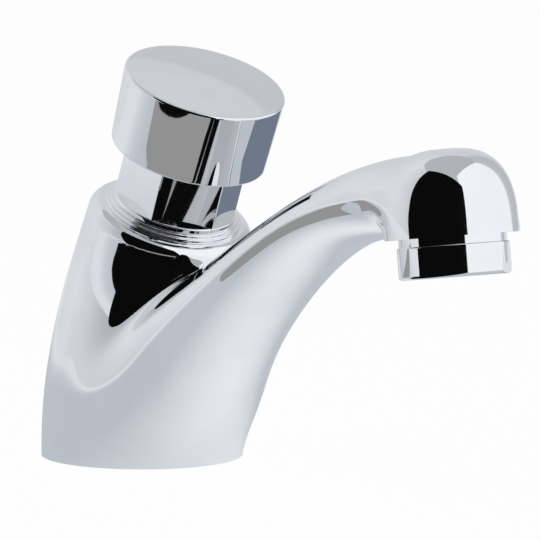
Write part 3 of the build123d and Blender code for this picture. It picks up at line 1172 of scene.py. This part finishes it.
@dataclass
class Neck:
    """The hexagonal neck and the stepped collar under it."""

    collar_radius: float = 0.0165
    step_radius: float = 0.0157
    collar_bore: float = 0.01158
    step_height: float = 0.0011
    collar_height: float = 0.0018
    edge_round: float = 0.00035
    flange_radius: float = 0.015
    flange_height: float = 0.0013
    corner_radius: float = 0.015
    hex_turn: float = math.radians(5.5)
    corner_round: float = 0.0006
    hex_top: float = 0.0215
    hex_chamfer: float = 0.0012
    recess_radius: float = 0.0074
    recess_depth: float = 0.006
    thread_radius: float = 0.0115
    thread_foot: float = -0.012
    stem_bore: float = 0.0034
    sleeve_socket: float = 0.01045
    socket_top: float = -0.004
    foot_round: float = 0.0002
    step_round: float = 0.00015
    thread_round: float = 0.0005
    sink: float = 0.0005

    def collar(self) -> bpy.types.Mesh:
        """The stepped trim ring, with polished rounds."""
        return turned("collar", rounded([
            (self.collar_bore, 0, 0),
            (self.collar_radius, 0, self.foot_round),
            (self.collar_radius, self.step_height, self.edge_round),
            (self.step_radius, self.step_height, self.step_round),
            (self.step_radius, self.collar_height, self.edge_round),
            (self.collar_bore, self.collar_height, 0),
        ]), PUSH_AXIS)

    def nut(self) -> bpy.types.Mesh:
        """The hexagon with its flange, barrel and bores.

        Returns:
            The mesh.
        """
        flange_top = self.collar_height + self.flange_height
        corners = []
        for number in range(6):
            turn = self.hex_turn + number * math.pi / 3
            corners.append((self.corner_radius * math.cos(turn), self.corner_radius * math.sin(turn),
                            self.corner_round))
        hexagon = prism("hexagon", rounded(corners), flange_top - self.sink, self.hex_top, PUSH_AXIS)
        wide = self.corner_radius + 2 * MARGIN
        over = self.hex_top + self.foot_round
        crown = turned("crown", [
            (0, flange_top - MARGIN),
            (wide, flange_top - MARGIN),
            (wide, self.hex_top - self.hex_chamfer - MARGIN),
            (self.corner_radius - self.hex_chamfer, over),
            (0, over),
        ], PUSH_AXIS)
        flange = turned("flange", rounded([
            (0, self.thread_foot, 0),
            (self.thread_radius, self.thread_foot, self.thread_round),
            (self.thread_radius, self.collar_height, 0),
            (self.flange_radius, self.collar_height, self.foot_round),
            (self.flange_radius, flange_top, self.edge_round),
            (0, flange_top, 0),
        ]), PUSH_AXIS)
        bore = turned("bore", stepped(self.hex_top + OVERRUN, [
            (self.recess_radius, self.hex_top - self.recess_depth),
            (self.stem_bore, self.socket_top),
            (self.sleeve_socket, self.thread_foot - OVERRUN),
        ]), PUSH_AXIS)
        solid = combined(hexagon, [crown], Fit.KEEP)
        solid = combined(solid, [flange], Fit.JOIN)
        return combined(solid, [bore], Fit.CUT)

    def build(self, palette: Palette) -> None:
        """Builds and dresses the neck.

        Args:
            palette: the finishes.
        """
        add_piece("collar_trim", smoothed(self.collar()), Body.TAP, CHROME, palette, "collar_ring")
        add_piece("hexagon_neck", smoothed(self.nut()), Body.TAP, CHROME, palette, "bonnet_nut")
        dress_nodes(("stem_bush",), palette.material(PLASTIC))
        dress_nodes(("bonnet_o_ring", "stem_o_ring"), palette.material(RUBBER))


# The outlet


@dataclass
class Outlet:
    """The aerator in the spout's head."""

    radius: float = 0.0124
    drop: float = 0.0089
    neck_radius: float = 0.0119
    neck_height: float = 0.0018
    edge_round: float = 0.0008
    thread_radius: float = 0.0114
    thread_length: float = 0.0055
    inner_radius: float = 0.01
    ledge: float = 0.001
    lip_radius: float = 0.009
    flat_height: float = 0.0024
    flat_depth: float = 0.00055
    flat_turn: float = math.radians(38)
    flat_block: tuple[float, float] = (0.003, 0.03)
    lip_round: float = 0.0003

    def housing(self) -> bpy.types.Mesh:
        """The outlet ring, with its two spanner flats.

        Returns:
            The mesh.
        """
        body = turned("housing", rounded([
            (self.lip_radius, -self.drop, self.lip_round),
            (self.radius, -self.drop, self.edge_round),
            (self.radius, -self.neck_height, self.lip_round),
            (self.neck_radius, -self.neck_height, 0),
            (self.neck_radius, 0, 0),
            (self.thread_radius, 0, 0),
            (self.thread_radius, self.thread_length, self.lip_round),
            (self.inner_radius, self.thread_length, 0),
            (self.inner_radius, -self.drop + self.ledge, 0),
            (self.lip_radius, -self.drop + self.ledge, 0),
        ]), OUTLET_AXIS)
        blocks = []
        deep, long = self.flat_block
        centre = Matrix.Translation((self.radius - self.flat_depth + deep / 2, 0,
                                     (self.flat_height - MARGIN) / 2 - self.drop))
        for side in (0, math.pi):
            place = OUTLET_AXIS.matrix() @ Matrix.Rotation(self.flat_turn + side, 4, "Z") @ centre
            blocks.append(block("flat", (deep, long, self.flat_height + MARGIN), place))
        return combined(body, blocks, Fit.CUT)

    def build(self, palette: Palette) -> None:
        """Builds and dresses the aerator.

        Args:
            palette: the finishes.
        """
        add_piece("aerator_ring", smoothed(self.housing()), Body.TAP, CHROME, palette, "aerator_housing")
        dress_nodes(("aerator_insert",), palette.material(PLASTIC))
        dress_nodes(("aerator_screen",), palette.material(STEEL))
        dress_nodes(("aerator_washer",), palette.material(RUBBER))


# The inner works


@dataclass
class Cartridge:
    """The timing works under the button, with the return spring wound from its sizes."""

    spring_foot: float = -0.0235
    spring_top: float = -0.0095
    spring_radius: float = 0.0066
    wire_radius: float = 0.0005
    turns: float = 6.0
    floor: float = -0.024
    travel_room: float = 0.007
    turn_steps: int = 48
    wire_sides: int = 12
    wire_angle: float = math.radians(50)

    def spring_tree(self, material: bpy.types.Material) -> bpy.types.NodeTree:
        """The nodes that wind a coil spring.

        Args:
            material: the wire's material.

        Returns:
            The node tree, with inputs for the spring's sizes.
        """
        tree = bpy.data.node_groups.new("wound spring", "GeometryNodeTree")
        for title in ("Turns", "Radius", "Height", "Foot", "Wire Radius"):
            tree.interface.new_socket(title, in_out="INPUT", socket_type="NodeSocketFloat")
        tree.interface.new_socket("Geometry", in_out="OUTPUT", socket_type="NodeSocketGeometry")
        wiring = Wiring(tree)
        start = wiring.add("NodeGroupInput").outputs
        spiral = wiring.add("GeometryNodeCurveSpiral", {
            "Resolution": self.turn_steps,
            "Rotations": start["Turns"],
            "Start Radius": start["Radius"],
            "End Radius": start["Radius"],
            "Height": start["Height"],
        })
        lift = wiring.add("ShaderNodeCombineXYZ", {"Z": start["Foot"]})
        path = wiring.add("GeometryNodeTransform", {
            "Geometry": spiral.outputs["Curve"],
            "Translation": lift.outputs["Vector"],
        })
        wire = wiring.add("GeometryNodeCurvePrimitiveCircle", {
            "Resolution": self.wire_sides,
            "Radius": start["Wire Radius"],
        })
        sweep = wiring.add("GeometryNodeCurveToMesh", {
            "Curve": path.outputs["Geometry"],
            "Profile Curve": wire.outputs["Curve"],
            "Fill Caps": True,
        })
        real = wiring.add("GeometryNodeRealizeInstances", {"Geometry": sweep.outputs["Mesh"]})
        paint = wiring.add("GeometryNodeSetMaterial", {
            "Geometry": real.outputs["Geometry"],
            "Material": material,
        })
        wiring.add("NodeGroupOutput", {"Geometry": paint.outputs["Geometry"]})
        return tree

    def spring(self, material: bpy.types.Material) -> bpy.types.Mesh:
        """The return spring, wound by its nodes.

        Args:
            material: the wire's material.

        Returns:
            The mesh, in place.
        """
        tree = self.spring_tree(material)
        sizes = {
            "Turns": self.turns,
            "Radius": self.spring_radius,
            "Height": self.spring_top - self.spring_foot,
            "Foot": self.spring_foot,
            "Wire Radius": self.wire_radius,
        }
        mesh = wound(tree, sizes)
        mesh.transform(PUSH_AXIS.matrix())
        return smoothed(mesh, self.wire_angle)

    def build(self, palette: Palette) -> None:
        """Builds and dresses the inner works.

        Args:
            palette: the finishes.
        """
        steel = palette.material(STEEL)
        piece = add_piece("wound_spring", self.spring(steel), Body.TAP, STEEL, palette, "return_spring")
        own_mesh(piece)
        dress_nodes(("cartridge_sleeve", "piston"), palette.material(PLASTIC))
        dress_nodes(("sleeve_o_ring", "piston_cup_seal", "valve_washer"), palette.material(RUBBER))
        dress_nodes(("valve_seat", "washer_holder"), palette.material(BRASS))
        dress_nodes(("timing_pin", "stem_clip", "thrust_washer", "holder_screw"), steel)


def wound(tree: bpy.types.NodeTree, sizes: dict[str, float]) -> bpy.types.Mesh:
    """The plain mesh that a node tree makes from its sizes.

    Args:
        tree: the geometry nodes.
        sizes: the values of its named inputs.

    Returns:
        The mesh.
    """
    thing = in_scene(tree.name, bpy.data.meshes.new(tree.name))
    modifier = thing.modifiers.new(tree.name, "NODES")
    modifier.node_group = tree
    for socket in tree.interface.items_tree:
        if socket.item_type == "SOCKET" and socket.name in sizes:
            modifier[socket.identifier] = sizes[socket.name]
    return applied(thing)


@dataclass
class Inlet:
    """The strainer in the base."""

    def build(self, palette: Palette) -> None:
        """Dresses the inlet.

        Args:
            palette: the finishes.
        """
        dress_nodes(("inlet_strainer",), palette.material(PLASTIC))


# The studio


@dataclass(frozen=True)
class Stop:
    """A tone at a turn round the far ring of cards."""

    turn: float
    tone: float


@dataclass(frozen=True)
class Card:
    """A flat card that only metal shows, with corners to the camera's right, towards it and up."""

    name: str
    corners: tuple[Place, ...]
    tone: float
    tint: Tone = (1.0, 1.0, 1.0)
    one_sided: bool = False


@dataclass(frozen=True)
class Lamp:
    """A soft lamp that faces the tap and isn't mirrored."""

    name: str
    azimuth: float
    elevation: float
    power: float


def level(height: float, *places: tuple[float, float]) -> tuple[Place, ...]:
    """The corners of a card that lies level at a height."""
    return tuple((*place, height) for place in places)


@dataclass
class Studio:
    """The camera, the floor, the light and the cards around the tap."""

    aim: Place = (0.05475, 0, 0.04989)
    azimuth: float = math.radians(54.98)
    elevation: float = math.radians(6.31)
    distance: float = 1.0
    lens: float = 287.46
    clip_start: float = 0.01
    floor_half: float = 3.0
    floor_paint: Tone = (0.9, 0.9, 0.9)
    floor_share: float = 0.98
    # Painted light and shade on the floor as metal mirrors it: a painted pool of light round one spot, a
    # ring of painted shade and lighter floor further off.
    painted_light_pool_tone: Tone = (0.84, 0.87, 0.9)
    painted_light_pool_centre: tuple[float, float] = (0.033, 0.026)
    painted_light_and_shade_bands: tuple[tuple[float, float, Tone], ...] = (
        (0.0, 0.06, (0.53, 0.565, 0.61)),
        (0.2, 0.7, (0.76, 0.79, 0.83)),
    )
    on_floor: float = 0.001
    dark: float = 0.003
    blue: Tone = (0.84, 1.0, 1.3)
    grey_height: float = 0.045
    cool: Tone = (0.98, 1.0, 1.04)
    window_line: tuple[Place, ...] = (
        (0.176, -1.092, 1.087),
        (0.191, -1.095, 1.079),
        (0.21, -1.1, 1.068),
        (0.23, -1.101, 1.062),
        (0.27, -1.094, 1.06),
        (0.295, -1.085, 1.064),
        (0.317, -1.071, 1.074),
        (0.342, -1.048, 1.094),
    )
    behind_line: tuple[Place, ...] = (
        (0.4, -1.1, 1.02),
        (0.34, -1.19, 0.93),
        (0.2, -1.2, 0.95),
        (0.14, -1.14, 1.04),
    )
    line_step: Place = (0.001, 0.0028, 0.0028)
    ring_radius: float = 2.0
    ring_height: float = 3.2
    ring_tint: Tone = (0.97, 1.0, 1.05)
    ring_stops: tuple[Stop, ...] = (
        Stop(-180, 0.64),
        Stop(-150, 0.72),
        Stop(-118, 0.76),
        Stop(-85, 0.66),
        Stop(-60, 0.5),
        Stop(17, 0.5),
        Stop(20, 0.97),
        Stop(116, 0.94),
        Stop(122, 0.55),
        Stop(145, 0.5),
        Stop(160, 0.66),
        Stop(180, 0.66),
    )
    sky: Tone = (0.46, 0.48, 0.51)
    ambient: float = 0.6
    lamp_distance: float = 1.4
    lamp_width: float = 1.2
    lamps: tuple[Lamp, ...] = (
        Lamp("key_lamp", math.radians(-20), math.radians(50), 6),
        Lamp("fill_lamp", math.radians(120), math.radians(35), 3),
    )

    def cards(self) -> list[Card]:
        """The cards that the metal mirrors.

        Returns:
            A dark wall and floor, a blue floor behind, a grey card before the tap and a window's edge.
        """
        lower = tuple(tuple(Vector(place) - Vector(self.line_step)) for place in reversed(self.window_line))
        return [
            Card("dark wall", (
                (-0.191, 0.156, 0), (0.454, 0.984, 0), (0.454, 0.984, 0.88), (-0.191, 0.156, 0.511),
            ), self.dark),
            Card("dark floor", level(
                self.on_floor, (-0.23, 0.0965), (0.026, 0.072), (0.454, 0.984), (-0.23, 0.106),
            ), self.dark),
            Card("blue floor", level(
                self.on_floor, (0.11, 0.02), (0.32, -0.02), (0.32, -0.4), (0.08, -0.4), (0.095, -0.08),
            ), 0.2, self.blue),
            Card("grey card", level(
                self.grey_height, (-0.125, 0.068), (-0.106, 0.0695), (-0.085, 0.0723), (-0.058, 0.0772),
                (-0.04, 0.0795), (-0.022, 0.081), (0, 0.083), (0.026, 0.086), (0.024, 0.0732),
                (0.0205, 0.068), (0.018, 0.0617), (0.0155, 0.055), (0, 0.053), (-0.03, 0.0555),
                (-0.08, 0.054),
            ), 0.31, one_sided=True),
            Card("behind the window line", (*self.window_line, *self.behind_line), 0.585, self.cool),
            Card("window line", (*self.window_line, *lower), 0.8, self.cool),
        ]

    def toward(self, azimuth: float, elevation: float) -> Vector:
        """The direction from the tap to a place around it."""
        flat = math.cos(elevation)
        return Vector((math.sin(azimuth) * flat, -math.cos(azimuth) * flat, math.sin(elevation)))

    def placed(self, right: float, near: float, up: float) -> Place:
        """The place that lies to the camera's right of the tap, towards the camera and up."""
        sine, cosine = math.sin(self.azimuth), math.cos(self.azimuth)
        return (right * cosine + near * sine, right * sine - near * cosine, up)

    def facing(self, thing: bpy.types.Object, azimuth: float, elevation: float, distance: float) -> None:
        """Puts a camera or a lamp around the tap and turns it to the aim.

        Args:
            thing: the camera or lamp.
            azimuth: its direction round the tap.
            elevation: its height as an angle.
            distance: how far from the aim it stands.
        """
        back = self.toward(azimuth, elevation)
        thing.location = Vector(self.aim) + distance * back
        thing.rotation_euler = back.to_track_quat("Z", "Y").to_euler()

    def add_camera(self) -> None:
        """Adds the camera at the photograph's angle."""
        data = bpy.data.cameras.new("camera")
        data.lens = self.lens
        data.clip_start = self.clip_start
        camera = in_scene("camera", data)
        self.facing(camera, self.azimuth, self.elevation, self.distance)
        bpy.context.scene.camera = camera

    def add_lamp(self, lamp: Lamp) -> None:
        """Adds a soft lamp.

        Args:
            lamp: the lamp.
        """
        data = bpy.data.lights.new(lamp.name, "AREA")
        data.energy = lamp.power
        data.size = self.lamp_width
        thing = in_scene(lamp.name, data)
        thing.visible_glossy = False
        self.facing(thing, lamp.azimuth, lamp.elevation, self.lamp_distance)

    def watched(self, wiring: Wiring, mirrored: bpy.types.NodeSocket | Tone) -> tuple:
        """What the camera and the metal see of a plain surround.

        Args:
            wiring: the floor's or the world's nodes.
            mirrored: the colour that metal shows, while the camera sees white.

        Returns:
            The colour, and a mask of the rays that see it.
        """
        path = wiring.add("ShaderNodeLightPath").outputs
        shown = wiring.add("ShaderNodeMix", {
            "A": WHITE,
            "B": mirrored,
            "Factor": path["Is Glossy Ray"],
        }, data_type="RGBA")
        seen = wiring.add("ShaderNodeMath", {
            0: path["Is Camera Ray"],
            1: path["Is Glossy Ray"],
        }, operation="MAXIMUM")
        return shown.outputs["Result"], seen.outputs[0]

    def painted_floor_light_and_shade(self, wiring: Wiring) -> bpy.types.NodeSocket:
        """The floor as metal mirrors it: painted light and shade, a painted pool of light with bands of
        painted shade and lighter floor around it.

        Args:
            wiring: the floor's nodes.

        Returns:
            The tone.
        """
        away = wiring.add("ShaderNodeVectorMath", {
            0: wiring.add("ShaderNodeTexCoord").outputs["Object"],
            1: self.placed(*self.painted_light_pool_centre, 0),
        }, operation="DISTANCE")
        # Painted light and shade: lightest at the spot, painted shade within a few centimetres, lighter
        # again further away.
        tone = (*self.painted_light_pool_tone, 1)
        for start, end, further in self.painted_light_and_shade_bands:
            fade = wiring.add("ShaderNodeMapRange", {
                "Value": away.outputs["Value"],
                "From Min": start,
                "From Max": end,
            }, interpolation_type="SMOOTHSTEP")
            mixed = wiring.add("ShaderNodeMix", {
                "A": tone,
                "B": (*further, 1),
                "Factor": fade.outputs["Result"],
            }, data_type="RGBA")
            tone = mixed.outputs["Result"]
        return tone

    def add_floor(self) -> None:
        """Adds the pale floor, which shows white, shows painted light and shade in metal and keeps the
        tap's shadow.
        """
        half = self.floor_half
        corners = [(-half, -half, 0), (half, -half, 0), (half, half, 0), (-half, half, 0)]
        mesh = bpy.data.meshes.new("floor")
        mesh.from_pydata(corners, [], [(0, 1, 2, 3)])
        material, wiring = bare_material("pale floor")
        shown, seen = self.watched(wiring, self.painted_floor_light_and_shade(wiring))
        share = wiring.add("ShaderNodeMath", {0: seen, 1: self.floor_share}, operation="MULTIPLY")
        paint = wiring.add("ShaderNodeBsdfDiffuse", {"Color": (*self.floor_paint, 1)})
        glow = wiring.add("ShaderNodeEmission", {"Color": shown})
        mix = wiring.add("ShaderNodeMixShader", {
            "Fac": share.outputs[0],
            1: paint.outputs[0],
            2: glow.outputs[0],
        })
        wiring.add("ShaderNodeOutputMaterial", {"Surface": mix.outputs[0]})
        mesh.materials.append(material)
        in_scene("floor", mesh)

    def add_world(self) -> None:
        """Adds the surround: white where it is seen, grey where it is mirrored, a plain light elsewhere."""
        world = bpy.data.worlds.new("surround")
        bpy.context.scene.world = world
        world.use_nodes = True
        wiring = Wiring(world.node_tree)
        light = wiring.tree.nodes["Background"]
        light.inputs["Strength"].default_value = self.ambient
        shown, seen = self.watched(wiring, (*self.sky, 1))
        surround = wiring.add("ShaderNodeBackground", {"Color": shown})
        mix = wiring.add("ShaderNodeMixShader", {"Fac": seen, 1: light.outputs[0], 2: surround.outputs[0]})
        wiring.feed(wiring.tree.nodes["World Output"], {"Surface": mix.outputs[0]})

    def add_toned(self, name: str, points: list, faces: list, tones: list, one_sided: bool = False) -> None:
        """Adds a glowing card that only metal shows, with a tone at each point.

        Args:
            name: the card's name.
            points: its points.
            faces: its faces.
            tones: the colour at each point.
            one_sided: whether it can be seen through from behind.
        """
        mesh = bpy.data.meshes.new(name)
        mesh.from_pydata(points, [], faces)
        layer = mesh.color_attributes.new("tone", "FLOAT_COLOR", "POINT")
        layer.data.foreach_set("color", np.array([(*tone, 1) for tone in tones], dtype=np.float32).ravel())
        material, wiring = bare_material(name)
        tone = wiring.add("ShaderNodeAttribute", attribute_name="tone").outputs["Color"]
        surface = wiring.add("ShaderNodeEmission", {"Color": tone}).outputs[0]
        if one_sided:
            back = wiring.add("ShaderNodeNewGeometry").outputs["Backfacing"]
            clear = wiring.add("ShaderNodeBsdfTransparent").outputs[0]
            surface = wiring.add("ShaderNodeMixShader", {"Fac": back, 1: surface, 2: clear}).outputs[0]
        wiring.add("ShaderNodeOutputMaterial", {"Surface": surface})
        mesh.materials.append(material)
        thing = in_scene(name.replace(" ", "_"), mesh)
        thing.visible_camera = False
        thing.visible_diffuse = False
        thing.visible_shadow = False
        thing.visible_transmission = False

    def add_card(self, card: Card) -> None:
        """Adds a flat card of one tone.

        Args:
            card: the card.
        """
        points = [self.placed(*corner) for corner in card.corners]
        tones = [tuple(card.tone * share for share in card.tint)] * len(points)
        self.add_toned(card.name, points, [tuple(range(len(points)))], tones, card.one_sided)

    def add_ring(self) -> None:
        """Adds the toned ring of cards that stands far around the tap."""
        points, tones = [], []
        for stop in self.ring_stops:
            turn = math.radians(stop.turn)
            right, near = self.ring_radius * math.sin(turn), self.ring_radius * math.cos(turn)
            for height in (0, self.ring_height):
                points.append(self.placed(right, near, height))
                tones.append(tuple(min(stop.tone * share, 1) for share in self.ring_tint))
        faces = [(2 * n, 2 * n + 1, 2 * n + 3, 2 * n + 2) for n in range(len(self.ring_stops) - 1)]
        self.add_toned("far ring", points, faces, tones)

    def build(self) -> None:
        """Sets up the whole studio."""
        bpy.context.scene.view_settings.view_transform = "Standard"
        self.add_camera()
        self.add_floor()
        self.add_world()
        for card in self.cards():
            self.add_card(card)
        self.add_ring()
        for lamp in self.lamps:
            self.add_lamp(lamp)


def main() -> None:
    """Builds the studio and the tap's pieces in order, and logs each one as it is built."""
    logging.basicConfig(level=logging.INFO, format="%(name)s: %(message)s")
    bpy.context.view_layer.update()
    Studio().build()
    palette = Palette()
    for part in (Casting(), PushButton(), Neck(), Outlet(), Cartridge(), Inlet()):
        part.build(palette)
        logger.info("%s built", type(part).__name__)


if __name__ == "__main__":
    main()
